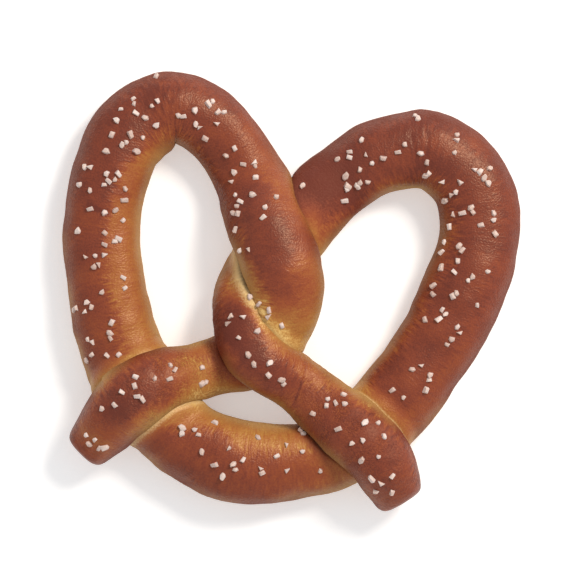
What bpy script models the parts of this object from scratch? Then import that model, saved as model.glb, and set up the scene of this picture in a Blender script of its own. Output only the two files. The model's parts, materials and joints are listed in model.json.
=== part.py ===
"""Soft pretzel: one rope of dough, rolled, thrown into two loops, twisted once and pressed down.

The rope's route is worked out first: typed stations where it runs freely, an arc over the crown of
each loop, and a helix where the two strands wind round each other. A tube swept along that route is
squashed to the plump oval of proved dough. One Boolean then melts the crossings into a single solid
and slices it flat where it stood on the baking tray.

Frame: metres, +Z up from the tray, +Y from the belly to the two crowns, +X to the right when the
pretzel is seen from above. The origin is on the tray, under the middle of the pretzel's box.
"""

import math

import bmesh
import bpy
import numpy as np
from mathutils import Matrix, Vector

MM = 0.001

# Driving dimensions, in millimetres.
ROPE_WIDTH = 22.5  # a fully proved stretch of the rope, seen from above
PLUMPNESS = 0.78  # the rope's thickness over its width: dough sags as it proves
SINK = 1.4  # how much of a resting stretch the tray flattens away
PRESSED_SINK = 3.0  # the same under a crossing, where the strand on top bears down
TIP_LENGTH = 5.0  # the stretch over which each end rounds off
TIP_BLUNTNESS = 3.4  # 2 is a round end, more is a blunter one
CUT_REACH = 200.0  # side of the block that slices the underside
CUT_DEPTH = 10.0  # and its thickness

# Where the strands wind round each other, in millimetres.
TWIST_TOP = 13.0  # height up the Y axis of the first crossing, left strand above
TWIST_BOTTOM = -15.0  # and of the second crossing, right strand above
TWIST_LEAD_IN = 8.0  # how far above the first crossing the helix starts
TWIST_RUN_OUT = 2.0  # and how far below the second it stops
TWIST_AXIS = -3.9  # where the twist's middle line meets the X axis
TWIST_LEAN = 0.07  # how far that line leans to the right for each millimetre of climb
TWIST_SWING = 5.3  # how far each strand swings out from that line
TWIST_LEVEL = 11.0  # height of the two strands' middles above the tray
TWIST_CLIMB = 5.0  # how far above or below it a strand passes a crossing
TWIST_LAG = 3.0  # the strands trade heights this far below their widest swing

# How finely the rope is modelled.
RING_STEP = 3.5  # millimetres between the rings along the rope
RING_SIDES = 24
TIP_TURNS = (4, 22, 40, 58, 76)  # degrees round a tip's end where it has rings
SAMPLES = 24  # points of the smooth route between two stations
WELD = 0.01  # millimetres


def resting(x, y, width, sink=SINK):
    """A station of the rope where it lies on the tray: its middle, and its half width."""
    half = width / 2
    return (x, y, half * PLUMPNESS - sink, half)


def raised(x, y, width, middle):
    """A station of the rope where something holds its middle above the tray."""
    return (x, y, middle, width / 2)


def crown(centre, reach, start, stop, count, width_at_start, width_at_stop):
    """Stations over the top of a loop, on an arc of an ellipse from start to stop degrees."""
    stations = []
    angles = np.radians(np.linspace(start, stop, count))
    widths = np.linspace(width_at_start, width_at_stop, count)
    for angle, width in zip(angles, widths):
        x = centre[0] + reach[0] * math.cos(angle)
        y = centre[1] + reach[1] * math.sin(angle)
        stations.append(resting(x, y, width))
    return stations


def twist(side, widths):
    """Stations of one strand down the twist. side is 1 for the left strand and -1 for the right."""
    stations = []
    pitch = TWIST_TOP - TWIST_BOTTOM
    heights = np.linspace(TWIST_TOP + TWIST_LEAD_IN, TWIST_BOTTOM - TWIST_RUN_OUT, len(widths))
    for y, width in zip(heights, widths):
        turn = math.pi * (TWIST_TOP - y) / pitch
        lag = math.pi * TWIST_LAG / pitch
        x = TWIST_AXIS + TWIST_LEAN * y + side * TWIST_SWING * math.sin(turn)
        middle = TWIST_LEVEL + side * TWIST_CLIMB * math.cos(turn - lag)
        stations.append(raised(x, y, width, middle))
    return stations


def route_stations():
    """The whole rope, from the left end round the left loop, the belly and the right loop."""
    left_end = [
        raised(-50.0, -52.4, 14.0, 7.6),
        raised(-45.3, -46.2, 17.0, 10.6),
        raised(-41.2, -39.4, 18.8, 14.2),
        raised(-36.2, -33.4, 19.6, 15.8),
        raised(-28.6, -28.2, 18.4, 13.2),
        raised(-19.0, -23.9, 16.2, 8.6),
    ]
    left_twist = twist(1, [22.8, 22.8, 22.4, 22.0, 20.0])
    left_loop = [
        resting(-14.8, 34.1, 20.2),
        *crown((-35.9, 27.2), (17.4, 22.2), 52, 180, 4, 20.2, 22.4),
        resting(-53.1, 10.0, 22.0),
        resting(-47.8, -9.5, 22.8),
        resting(-38.4, -28.0, 24.2, PRESSED_SINK),
    ]
    belly = [
        resting(-22.6, -42.8, 22.6),
        resting(-5.0, -47.9, 24.2),
        resting(12.5, -45.3, 21.6),
        resting(26.0, -38.4, 21.6, PRESSED_SINK),
        resting(36.0, -26.3, 23.2, PRESSED_SINK),
    ]
    right_loop = [
        resting(45.4, -8.3, 22.8),
        resting(51.6, 9.0, 23.6),
        *crown((34.0, 26.8), (19.8, 21.9), 0, 122, 4, 22.8, 22.0),
        resting(12.1, 36.0, 20.0),
    ]
    right_twist = twist(-1, [21.0, 20.4, 19.8, 18.8, 17.6])
    right_end = [
        raised(8.0, -23.0, 16.4, 12.2),
        raised(18.2, -28.8, 17.6, 12.2),
        raised(27.4, -34.2, 19.4, 15.2),
        raised(34.9, -39.3, 19.2, 15.0),
        raised(40.4, -46.0, 17.4, 11.6),
        raised(45.0, -53.2, 13.6, 7.8),
    ]
    return [
        *left_end,
        *reversed(left_twist),
        *left_loop,
        *belly,
        *right_loop,
        *right_twist,
        *right_end,
    ]


def smooth_route(stations):
    """A centripetal Catmull-Rom curve through the stations, which never loops or overshoots."""
    points = np.array(stations)
    points = np.vstack([2 * points[0] - points[1], points, 2 * points[-1] - points[-2]])
    route = []
    for p0, p1, p2, p3 in zip(points, points[1:], points[2:], points[3:]):
        spans = [np.linalg.norm((b - a)[:3]) ** 0.5 for a, b in ((p0, p1), (p1, p2), (p2, p3))]
        t0, t1, t2, t3 = np.cumsum([0.0, *spans])
        for t in np.linspace(t1, t2, SAMPLES, endpoint=False):
            a1 = p0 + (p1 - p0) * (t - t0) / (t1 - t0)
            a2 = p1 + (p2 - p1) * (t - t1) / (t2 - t1)
            a3 = p2 + (p3 - p2) * (t - t2) / (t3 - t2)
            b1 = a1 + (a2 - a1) * (t - t0) / (t2 - t0)
            b2 = a2 + (a3 - a2) * (t - t1) / (t3 - t1)
            route.append(b1 + (b2 - b1) * (t - t1) / (t2 - t1))
    route.append(points[-2])
    return np.array(route)


def ring_distances(length):
    """Where the rings go along the rope: evenly, and closer together as each end rounds off."""
    tip = TIP_LENGTH * (1 - np.cos(np.radians(TIP_TURNS)))
    body = np.linspace(TIP_LENGTH, length - TIP_LENGTH, round(length / RING_STEP))
    return np.concatenate([tip, body, (length - tip)[::-1]])


def rings(route):
    """The route's middles and half widths at every ring, with both ends rounded off."""
    along = np.concatenate([[0], np.cumsum(np.linalg.norm(np.diff(route[:, :3], axis=0), axis=1))])
    at = ring_distances(along[-1])
    middles = np.stack([np.interp(at, along, route[:, k]) for k in range(3)], axis=1)
    half_widths = np.interp(at, along, route[:, 3])
    from_end = np.minimum(at, along[-1] - at)
    into_tip = np.clip(1 - from_end / TIP_LENGTH, 0, 1)
    rounding = (1 - into_tip**TIP_BLUNTNESS) ** (1 / TIP_BLUNTNESS)
    return middles, half_widths * rounding


def rope_curve(middles, half_widths):
    """A round tube through the rings, stretched upwards as far as it will be squashed later."""
    data = bpy.data.curves.new("dough_rope", "CURVE")
    data.dimensions = "3D"
    data.twist_mode = "Z_UP"
    data.bevel_depth = ROPE_WIDTH / 2 * MM
    data.bevel_resolution = RING_SIDES // 2 - 2
    data.use_fill_caps = True
    spline = data.splines.new("POLY")
    spline.points.add(len(middles) - 1)
    for point, middle, half_width in zip(spline.points, middles, half_widths):
        point.co = (middle[0] * MM, middle[1] * MM, middle[2] / PLUMPNESS * MM, 1)
        point.radius = half_width / (ROPE_WIDTH / 2)
    curve = bpy.data.objects.new("dough_rope", data)
    bpy.context.scene.collection.objects.link(curve)
    return curve


def rope_mesh(curve):
    """The tube as a closed mesh, squashed to the dough's oval section and centred on the origin."""
    graph = bpy.context.evaluated_depsgraph_get()
    mesh = bpy.data.meshes.new_from_object(curve.evaluated_get(graph))
    bpy.data.objects.remove(curve)
    mesh.transform(Matrix.Diagonal((1, 1, PLUMPNESS, 1)))
    xs = [vertex.co.x for vertex in mesh.vertices]
    ys = [vertex.co.y for vertex in mesh.vertices]
    middle = Vector((min(xs) + max(xs), min(ys) + max(ys), 0)) / 2
    mesh.transform(Matrix.Translation(-middle))
    shape = bmesh.new()
    shape.from_mesh(mesh)
    bmesh.ops.remove_doubles(shape, verts=shape.verts, dist=WELD * MM)
    bmesh.ops.recalc_face_normals(shape, faces=shape.faces)
    shape.to_mesh(mesh)
    shape.free()
    return mesh


def tray_block(helpers):
    """The block below the tray's surface that slices the pretzel's underside flat."""
    bpy.ops.mesh.primitive_cube_add(size=1, location=(0, 0, -CUT_DEPTH / 2 * MM))
    block = bpy.context.object
    block.name = "tray_cut"
    block.scale = (CUT_REACH * MM, CUT_REACH * MM, CUT_DEPTH * MM)
    bpy.ops.object.transform_apply(location=True, scale=True)
    block.hide_render = True
    block.display_type = "WIRE"
    for collection in block.users_collection:
        collection.objects.unlink(block)
    helpers.objects.link(block)
    return block


def crust_material():
    """Crust dipped in lye and baked: a chestnut brown with a soft sheen."""
    material = bpy.data.materials.new("baked_crust")
    material.use_nodes = True
    shader = material.node_tree.nodes["Principled BSDF"]
    shader.inputs["Base Color"].default_value = (0.296, 0.105, 0.056, 1)
    shader.inputs["Roughness"].default_value = 0.42
    shader.inputs["Metallic"].default_value = 0.0
    return material


def new_collection(name):
    collection = bpy.data.collections.new(name)
    bpy.context.scene.collection.children.link(collection)
    return collection


def build():
    for obj in list(bpy.data.objects):
        bpy.data.objects.remove(obj)
    parts = new_collection("soft_pretzel")
    helpers = new_collection("cutters")
    middles, half_widths = rings(smooth_route(route_stations()))
    mesh = rope_mesh(rope_curve(middles, half_widths))
    mesh.materials.append(crust_material())
    mesh.shade_smooth()
    pretzel = bpy.data.objects.new("pretzel", mesh)
    parts.objects.link(pretzel)
    melt = pretzel.modifiers.new("melt_crossings_and_flatten", "BOOLEAN")
    melt.operation = "DIFFERENCE"
    melt.solver = "EXACT"
    melt.use_self = True
    melt.object = tray_block(helpers)


build()
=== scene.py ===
# %% [markdown]
# # Dressing a soft pretzel
#
# A soft pretzel is one rope of wheat dough. The baker rolls it, throws it into two loops, winds the two
# ends round each other and presses them down on the bend. A dip in lye lets the oven turn the skin a
# smooth chestnut brown, and the coarse salt thrown on before baking stays white.
#
# A plain solid of the pretzel exists already, with its real size and weight. This lesson gives it its
# crust and its salt and sets it on a pale floor. The steps are the floor, the camera and the lights,
# then the rope's route, its skin with folds and wrinkles, the oven's colours, and last the salt.

# %% Load the solid as a fixed frame
import json
import math

import bpy
import numpy as np
from mathutils import Matrix, Vector
from mathutils.bvhtree import BVHTree
from mathutils.kdtree import KDTree

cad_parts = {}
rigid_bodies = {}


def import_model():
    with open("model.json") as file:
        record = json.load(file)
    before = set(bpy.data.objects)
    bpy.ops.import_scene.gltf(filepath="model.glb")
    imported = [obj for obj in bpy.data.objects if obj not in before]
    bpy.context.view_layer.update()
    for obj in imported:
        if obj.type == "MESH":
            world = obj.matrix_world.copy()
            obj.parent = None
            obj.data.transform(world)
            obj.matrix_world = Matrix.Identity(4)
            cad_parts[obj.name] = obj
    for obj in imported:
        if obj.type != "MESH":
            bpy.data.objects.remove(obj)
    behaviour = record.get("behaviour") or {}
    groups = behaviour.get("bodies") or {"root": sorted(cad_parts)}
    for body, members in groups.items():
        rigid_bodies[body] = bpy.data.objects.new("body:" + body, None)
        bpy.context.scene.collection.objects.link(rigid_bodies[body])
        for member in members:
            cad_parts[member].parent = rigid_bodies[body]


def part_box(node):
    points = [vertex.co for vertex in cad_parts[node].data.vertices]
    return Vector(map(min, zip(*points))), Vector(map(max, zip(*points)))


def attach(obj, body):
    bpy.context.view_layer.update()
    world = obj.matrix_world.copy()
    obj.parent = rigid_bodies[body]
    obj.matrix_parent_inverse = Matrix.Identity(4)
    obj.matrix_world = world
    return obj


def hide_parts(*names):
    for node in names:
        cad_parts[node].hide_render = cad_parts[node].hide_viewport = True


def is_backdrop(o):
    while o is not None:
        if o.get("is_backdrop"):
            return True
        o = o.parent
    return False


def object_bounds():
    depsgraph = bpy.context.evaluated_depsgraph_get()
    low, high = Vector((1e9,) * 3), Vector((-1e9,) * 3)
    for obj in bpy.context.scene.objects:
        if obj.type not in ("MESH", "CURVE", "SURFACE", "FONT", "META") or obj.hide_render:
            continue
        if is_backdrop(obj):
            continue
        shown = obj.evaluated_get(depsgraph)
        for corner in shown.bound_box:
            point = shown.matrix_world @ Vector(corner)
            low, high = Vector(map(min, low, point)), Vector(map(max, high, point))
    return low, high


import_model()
cad_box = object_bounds()
solid_low, solid_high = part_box("pretzel")
solid_middle = (solid_low + solid_high) / 2
solid_size = solid_high - solid_low
MM = 0.001  # Blender works in metres, and every size below is given in millimetres
print("The solid measures", [round(side / MM, 1) for side in solid_size], "mm")


# %% A few helpers that every step uses
def deselect_all():
    bpy.ops.object.select_all(action="DESELECT")


def select_only(obj):
    deselect_all()
    obj.select_set(True)
    bpy.context.view_layer.objects.active = obj


def linear(colour):
    """A colour written as sRGB hex, turned to the linear values that shaders work in."""
    channels = [int(colour[i : i + 2], 16) / 255 for i in (1, 3, 5)]
    return [c / 12.92 if c <= 0.04045 else ((c + 0.055) / 1.055) ** 2.4 for c in channels] + [1]


def new_material(name):
    """An empty material with its output node. Returns the material and that node."""
    material = bpy.data.materials.new(name)
    material.use_nodes = True
    material.node_tree.nodes.clear()
    return material, material.node_tree.nodes.new("ShaderNodeOutputMaterial")


def add(material, kind, inputs=None, **settings):
    """Adds a node. Settings are its own properties, inputs are values or the sockets that feed it."""
    node = material.node_tree.nodes.new("ShaderNode" + kind)
    for name, value in settings.items():
        setattr(node, name, value)
    for name, value in (inputs or {}).items():
        if isinstance(value, bpy.types.NodeSocket):
            material.node_tree.links.new(value, node.inputs[name])
        else:
            node.inputs[name].default_value = value
    return node


# %% [markdown]
# ## The floor
#
# The pretzel lies on a product table: a large sheet of opal acrylic, lit faintly from below so that
# shadows on it stay pale. A single plane is enough, because nothing on it shows but those shadows. It
# still gets a faint unevenness, since a perfectly even white reads as empty space. It lies a hair below
# the pretzel, so that the two surfaces never fight for one place.

# %% Floor
FLOOR_SIDE = 3.0
FLOOR_GAP = 0.05 * MM
GLOW_FROM_BELOW = 0.34  # the light that comes through, where 1 is as bright as white paper
FLOOR_CLOUDS = 6.0  # faint clouds to the metre

deselect_all()
bpy.ops.mesh.primitive_plane_add(size=FLOOR_SIDE, location=(0, 0, -FLOOR_GAP))
floor = bpy.context.object
floor.name = "floor"
bpy.ops.object.transform_apply(location=True)


def opal_acrylic():
    """Cast opal acrylic, sanded matt: milky white, faintly cloudy, with a little light coming through."""
    material, output = new_material("opal_acrylic")
    places = add(material, "TexCoord")
    clouds = add(material, "TexNoise", {"Vector": places.outputs["Object"], "Scale": FLOOR_CLOUDS})
    tint = add(
        material,
        "Mix",
        {0: clouds.outputs[0], 6: linear("#F7F6F5"), 7: linear("#FAFAF9")},
        data_type="RGBA",
    )
    shader = add(
        material,
        "BsdfPrincipled",
        {
            "Base Color": tint.outputs[2],
            "Roughness": 0.9,
            "Emission Color": linear("#FFFFFF"),
            "Emission Strength": GLOW_FROM_BELOW,
        },
    )
    material.node_tree.links.new(shader.outputs[0], output.inputs["Surface"])
    return material


floor.data.materials.append(opal_acrylic())
floor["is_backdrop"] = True
print("The floor is", FLOOR_SIDE, "m wide")

# %% [markdown]
# ## The camera
#
# The camera hangs straight above the pretzel, turned a few degrees so that the pretzel looks rolled
# clockwise. A long lens far away keeps the rope's width true from the middle of the picture to its
# edges, as a wide lens near by would not.

# %% Camera
LENS = 250.0
SENSOR = 36.0
CAMERA_ROLL = 9.0
FIELD_WIDTH = 166.4  # how much of the tray the picture spans, in millimetres
FIELD_HEIGHT = 8.0  # height above the tray at which it spans that much
AIM = Vector((2.4, 2.8, 0)) * MM  # what the camera looks at, from the middle of the solid's box

bpy.ops.object.camera_add()
camera = bpy.context.object
camera.name = "camera"
camera.data.lens = LENS
camera.data.sensor_width = SENSOR
distance = FIELD_WIDTH * LENS / SENSOR
aim = Vector((solid_middle.x, solid_middle.y, FIELD_HEIGHT * MM)) + AIM
camera.location = aim + Vector((0, 0, distance * MM))
camera.rotation_euler = (0, 0, math.radians(CAMERA_ROLL))
bpy.context.scene.camera = camera
print("The camera hangs", round(distance), "mm above the crust")

# %% [markdown]
# ## The light
#
# The light is that of a product table: one big soft box high on the right beyond the pretzel, and pale
# walls all round that fill the shadows. The soft box sits about half way down from straight overhead,
# so its broad reflection runs along the shoulder of every stretch of rope that faces it. The Standard
# view keeps colours as they are mixed, without the film-like contrast of the default one.

# %% Soft box and walls
KEY_BEARING = 54.0  # degrees from the X axis towards the Y axis
KEY_FROM_OVERHEAD = 44.0
KEY_DISTANCE = 1.1
KEY_SIDE = 0.30
KEY_POWER = 8.6
WALL_COLOUR = "#F4F5F8"
WALL_STRENGTH = 0.62

bpy.context.scene.view_settings.view_transform = "Standard"
bearing, tilt = math.radians(KEY_BEARING), math.radians(KEY_FROM_OVERHEAD)
level_reach = math.sin(tilt)
towards_key = Vector((math.cos(bearing) * level_reach, math.sin(bearing) * level_reach, math.cos(tilt)))
bpy.ops.object.light_add(type="AREA", location=towards_key * KEY_DISTANCE)
key = bpy.context.object
key.name = "soft_box"
key.data.size = KEY_SIDE
key.data.energy = KEY_POWER
key.data.color = linear("#FFF9F0")[:3]
key.rotation_euler = towards_key.to_track_quat("Z", "Y").to_euler()

world = bpy.data.worlds.new("pale_walls")
bpy.context.scene.world = world
world.use_nodes = True
walls = world.node_tree.nodes["Background"]
walls.inputs["Color"].default_value = linear(WALL_COLOUR)
walls.inputs["Strength"].default_value = WALL_STRENGTH
print("The soft box shines from", [round(part, 2) for part in towards_key])

# %% [markdown]
# ## The rope's route
#
# The crust has to lie exactly where the solid is, so it follows the same route. The route is a list of
# stations from the left end to the right end: typed ones where the rope runs freely, an arc of an
# ellipse over the crown of each loop, and a helix where the two ends wind round each other. A smooth
# curve through the stations gives the middle and the half width of the rope at every millimetre.

# %% Sizes of the rope
PLUMPNESS = 0.78  # the rope's thickness over its width: dough sags as it proves
SINK = 1.4  # how much of a resting stretch the tray flattens away
PRESSED_SINK = 3.0  # the same under a crossing, where the strand on top bears down
TIP_LENGTH = 4.2  # the stretch over which each end rounds off
TIP_BLUNTNESS = 3.4  # 2 is a round end, more is a blunter one

TWIST_TOP = 13.0  # height up the Y axis of the first crossing, left strand above
TWIST_BOTTOM = -15.0  # and of the second crossing, right strand above
TWIST_LEAD_IN = 8.0  # how far above the first crossing the helix starts
TWIST_RUN_OUT = 2.0  # and how far below the second it stops
TWIST_AXIS = -3.9  # where the twist's middle line meets the X axis
TWIST_LEAN = 0.07  # how far that line leans to the right for each millimetre of climb
TWIST_SWING = 5.3  # how far each strand swings out from that line
TWIST_LEVEL = 11.0  # height of the two strands' middles above the tray
TWIST_CLIMB = 5.0  # how far above or below it a strand passes a crossing
TWIST_LAG = 3.0  # the strands trade heights this far below their widest swing
print("The rope is", PLUMPNESS, "times as thick as it is wide")


# %% Kinds of station
def resting(x, y, width, sink=SINK):
    """A station of the rope where it lies on the tray: its middle, and its half width."""
    half = width / 2
    return (x, y, half * PLUMPNESS - sink, half)


def raised(x, y, width, middle):
    """A station of the rope where something holds its middle above the tray."""
    return (x, y, middle, width / 2)


def crown(centre, reach, start, stop, count, width_at_start, width_at_stop):
    """Stations over the top of a loop, on an arc of an ellipse from start to stop degrees."""
    stations = []
    angles = np.radians(np.linspace(start, stop, count))
    widths = np.linspace(width_at_start, width_at_stop, count)
    for angle, width in zip(angles, widths):
        x = centre[0] + reach[0] * math.cos(angle)
        y = centre[1] + reach[1] * math.sin(angle)
        stations.append(resting(x, y, width))
    return stations


def twist(side, widths):
    """Stations of one strand down the twist. side is 1 for the left strand and -1 for the right."""
    stations = []
    pitch = TWIST_TOP - TWIST_BOTTOM
    heights = np.linspace(TWIST_TOP + TWIST_LEAD_IN, TWIST_BOTTOM - TWIST_RUN_OUT, len(widths))
    for y, width in zip(heights, widths):
        turn = math.pi * (TWIST_TOP - y) / pitch
        lag = math.pi * TWIST_LAG / pitch
        x = TWIST_AXIS + TWIST_LEAN * y + side * TWIST_SWING * math.sin(turn)
        middle = TWIST_LEVEL + side * TWIST_CLIMB * math.cos(turn - lag)
        stations.append(raised(x, y, width, middle))
    return stations


# %% The stations, from the left end to the right end
left_end = [
    raised(-50.0, -52.4, 14.0, 7.6),
    raised(-45.3, -46.2, 17.0, 10.6),
    raised(-41.2, -39.4, 18.8, 14.2),
    raised(-36.2, -33.4, 19.6, 15.8),
    raised(-28.6, -28.2, 18.4, 13.2),
    raised(-19.0, -23.9, 16.2, 8.6),
]
left_twist = twist(1, [22.8, 22.8, 22.4, 22.0, 20.0])
left_loop = [
    resting(-14.8, 34.1, 20.2),
    *crown((-35.9, 27.2), (17.4, 22.2), 52, 180, 4, 20.2, 22.4),
    resting(-53.1, 10.0, 22.0),
    resting(-47.8, -9.5, 22.8),
    resting(-38.4, -28.0, 24.2, PRESSED_SINK),
]
belly = [
    resting(-22.6, -42.8, 22.6),
    resting(-5.0, -47.9, 24.2),
    resting(12.5, -45.3, 21.6),
    resting(26.0, -38.4, 21.6, PRESSED_SINK),
    resting(36.0, -26.3, 23.2, PRESSED_SINK),
]
right_loop = [
    resting(45.4, -8.3, 22.8),
    resting(51.6, 9.0, 23.6),
    *crown((34.0, 26.8), (19.8, 21.9), 0, 122, 4, 22.8, 22.0),
    resting(12.1, 36.0, 20.0),
]
right_twist = twist(-1, [21.0, 20.4, 19.8, 18.8, 17.6])
right_end = [
    raised(8.0, -23.0, 16.4, 12.2),
    raised(18.2, -28.8, 17.6, 12.2),
    raised(27.4, -34.2, 19.4, 15.2),
    raised(34.9, -39.3, 19.2, 15.0),
    raised(40.4, -46.0, 17.4, 11.6),
    raised(45.0, -53.2, 13.6, 7.8),
]
left_half = [*left_end, *reversed(left_twist), *left_loop]
stations = [*left_half, *belly, *right_loop, *right_twist, *right_end]
widths = [2 * half for _, _, _, half in stations]
print("The rope is between", round(min(widths), 1), "and", round(max(widths), 1), "mm wide")

# %% A smooth curve through them
SAMPLES = 24  # points of the route between two stations


def smooth_route(stations):
    """A centripetal Catmull-Rom curve through the stations, which never loops or overshoots."""
    points = np.array(stations)
    points = np.vstack([2 * points[0] - points[1], points, 2 * points[-1] - points[-2]])
    route = []
    for p0, p1, p2, p3 in zip(points, points[1:], points[2:], points[3:]):
        spans = [np.linalg.norm((b - a)[:3]) ** 0.5 for a, b in ((p0, p1), (p1, p2), (p2, p3))]
        t0, t1, t2, t3 = np.cumsum([0.0, *spans])
        for t in np.linspace(t1, t2, SAMPLES, endpoint=False):
            a1 = p0 + (p1 - p0) * (t - t0) / (t1 - t0)
            a2 = p1 + (p2 - p1) * (t - t1) / (t2 - t1)
            a3 = p2 + (p3 - p2) * (t - t2) / (t3 - t2)
            b1 = a1 + (a2 - a1) * (t - t0) / (t2 - t0)
            b2 = a2 + (a3 - a2) * (t - t1) / (t3 - t1)
            route.append(b1 + (b2 - b1) * (t - t1) / (t2 - t1))
    route.append(points[-2])
    return np.array(route)


route = smooth_route(stations)
route_travel = np.concatenate([[0], np.cumsum(np.linalg.norm(np.diff(route[:, :3], axis=0), axis=1))])
route_station = np.arange(len(route)) / SAMPLES
rope_length = route_travel[-1]
print("The rope is", round(rope_length), "mm long, with", len(stations), "stations")

# %% [markdown]
# ## Rolling the skin
#
# The baker's rope is rolled up from a flat strip of dough, and the skin is made the same way. A flat
# grid, long and narrow, is rolled round the route: its long side becomes the way along the rope and
# its short side the way round it. The grid brings a UV map along, so each spot of the skin still knows
# how far along the rope and how far round it lies. The wrinkles and the oven's colours need that.
#
# The faces are closer together on top than underneath, and the rings crowd together at the two ends,
# where the rope rounds off.

# %% How fine the skin is
RING_STEP = 0.45  # millimetres between two rings along the rope
SKIN_SIDES = 60
TIP_TURN = 5  # degrees round a tip's end between two rings
TOP_CROWDING = 0.25  # 0 spreads the faces evenly round the rope, more puts more of them on top


def ring_distances(length):
    """Where the rings go along the rope: evenly, and closer together as each end rounds off."""
    tip = TIP_LENGTH * (1 - np.cos(np.radians(np.arange(0, 90, TIP_TURN))))
    body = np.linspace(TIP_LENGTH, length - TIP_LENGTH, round(length / RING_STEP))
    return np.concatenate([tip, body, (length - tip)[::-1]])


ring_travel = ring_distances(rope_length)
deselect_all()
bpy.ops.mesh.primitive_grid_add(x_subdivisions=len(ring_travel) - 1, y_subdivisions=SKIN_SIDES, size=1)
crust = bpy.context.object
crust.name = "crust"
crust.data.name = "crust"
crust.data.uv_layers[0].name = "rope"
print("The flat skin has", len(crust.data.polygons), "faces")


# %% Where each spot of the skin lies on the rope
def read_places(mesh):
    """The places of a mesh's vertices, one row each."""
    places = np.empty(len(mesh.vertices) * 3, np.float32)
    mesh.vertices.foreach_get("co", places)
    return places.reshape(-1, 3).astype(float)


sheet = read_places(crust.data)
ring = np.rint((sheet[:, 0] + 0.5) * (len(ring_travel) - 1)).astype(int)
width_share = 2 * sheet[:, 1]
angle = math.pi * ((1 - TOP_CROWDING) * width_share + TOP_CROWDING * width_share**3)
travel = ring_travel[ring]
station = np.interp(travel, route_travel, route_station)

# angle is 0 on top of the rope, a quarter turn at its left limb and half a turn underneath.
# side counts those quarter turns: 0 on top, 1 at the left limb, 2 underneath, and negative on the right.
# across is 0 on top, 1 at the left limb and -1 at the right one.
side = angle / (math.pi / 2)
across = np.sin(angle)
print("Each of the skin's", len(sheet), "spots has its station, from 0 to", round(float(station.max())))


# %% Roll it up
def ring_frames():
    """Middle, half width, left and upward direction of every ring, heights stretched back to round."""
    middles = np.stack([np.interp(ring_travel, route_travel, route[:, k]) for k in range(3)], axis=1)
    halves = np.interp(ring_travel, route_travel, route[:, 3])
    from_end = np.minimum(ring_travel, rope_length - ring_travel)
    into_tip = np.clip(1 - from_end / TIP_LENGTH, 0, 1)
    halves = halves * (1 - into_tip**TIP_BLUNTNESS) ** (1 / TIP_BLUNTNESS)
    middles[:, 2] /= PLUMPNESS
    ahead = np.gradient(middles, axis=0)
    ahead /= np.linalg.norm(ahead, axis=1, keepdims=True)
    left = np.stack([-ahead[:, 1], ahead[:, 0], np.zeros(len(ahead))], axis=1)
    left /= np.linalg.norm(left, axis=1, keepdims=True)
    return middles, halves, left, np.cross(ahead, left)


middles, halves, lefts, ups = ring_frames()
outward = np.sin(angle)[:, None] * lefts[ring] + np.cos(angle)[:, None] * ups[ring]
skin = middles[ring] + halves[ring][:, None] * outward
skin[:, 2] *= PLUMPNESS
outward[:, 2] /= PLUMPNESS
outward /= np.linalg.norm(outward, axis=1, keepdims=True)
around = halves[ring] * angle  # millimetres round the rope from its top
print("Rolled up, the skin measures", np.ptp(skin, axis=0).round(1), "mm")

# %% [markdown]
# ## Lumps, dimples and creases
#
# Dough is never an even tube. Proving leaves broad swellings, hands leave shallow dimples, and the
# skin gathers in fine wrinkles across the rope where a bend squeezes it. Where a strand lies on
# another they grow together as they bake: the lower one swells up against the one on top.
#
# A sculptor would paint all that by hand. Here each kind of unevenness is a formula with its real size
# in millimetres, added up as one push in or out for each spot of the skin. The formulas use waves in
# random directions, drawn from a fixed seed so that the pretzel comes out the same each time.


# %% Random swelling of a given size
WAVES = 28  # enough waves in random directions that no pattern repeats
HIGHEST = 1.6  # the sum seldom goes past this many times its usual height


def ripple(places, wavelength, seed):
    """Smooth random ups and downs, mostly within -1 to 1, whose bumps are a wavelength apart."""
    dice = np.random.default_rng(seed)
    total = np.zeros(len(places))
    for _ in range(WAVES):
        direction = dice.normal(size=places.shape[1])
        direction /= np.linalg.norm(direction)
        length = wavelength * dice.uniform(0.8, 1.3)
        total += np.cos(places @ direction * 2 * math.pi / length + dice.uniform(0, 2 * math.pi))
    return total * math.sqrt(2 / WAVES) / HIGHEST


def smooth_step(value, start, stop):
    """0 before start, 1 after stop, and a soft slope between them."""
    share = np.clip((value - start) / (stop - start), 0, 1)
    return share * share * (3 - 2 * share)


# height of the bumps and the distance between them, both in millimetres
SWELLS = (0.30, 20.0)  # the broad swellings that proving leaves
LUMPS = (0.10, 9.0)  # the smaller ones between them
DIMPLES = (0.045, 5.0)  # the faint dimples that hands leave

relief = np.zeros(len(skin))
for (height, apart), seed in ((SWELLS, 3), (LUMPS, 5), (DIMPLES, 7)):
    relief += height * ripple(skin, apart, seed)
print("Swellings and dimples push the skin by up to", round(float(np.abs(relief).max()), 2), "mm")

# %% How close another strand is
OWN_REACH = 24.0  # a spot's own strand reaches this far each way along the rope
FAR = 99.0  # stands for no strand near by
LEVEL_WITH = 4.0  # strands whose middles differ by less than this lie side by side
STRIDE = 6  # every sixth point of the route is close enough together to measure from


def beside(points, travels):
    """How far each point is from any other strand, negative inside one, and how high that strand lies."""
    others = route[::STRIDE] * (1, 1, 1 / PLUMPNESS, 1)
    their_travel = route_travel[::STRIDE]
    room = np.full(len(points), FAR)
    height = np.zeros(len(points))
    round_points = points * (1, 1, 1 / PLUMPNESS)
    for other, its_travel in zip(others, their_travel):
        gap = np.linalg.norm(round_points - other[:3], axis=1) - other[3]
        gap[np.abs(travels - its_travel) < OWN_REACH] = FAR
        height[gap < room] = other[2]
        room = np.minimum(room, gap)
    return room, height


room, their_height = beside(skin, travel)
under = smooth_step(their_height - middles[ring][:, 2], -LEVEL_WITH, LEVEL_WITH)
print("Hidden inside another strand:", round(100 * float((room < 0).mean())), "% of the skin")

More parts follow.
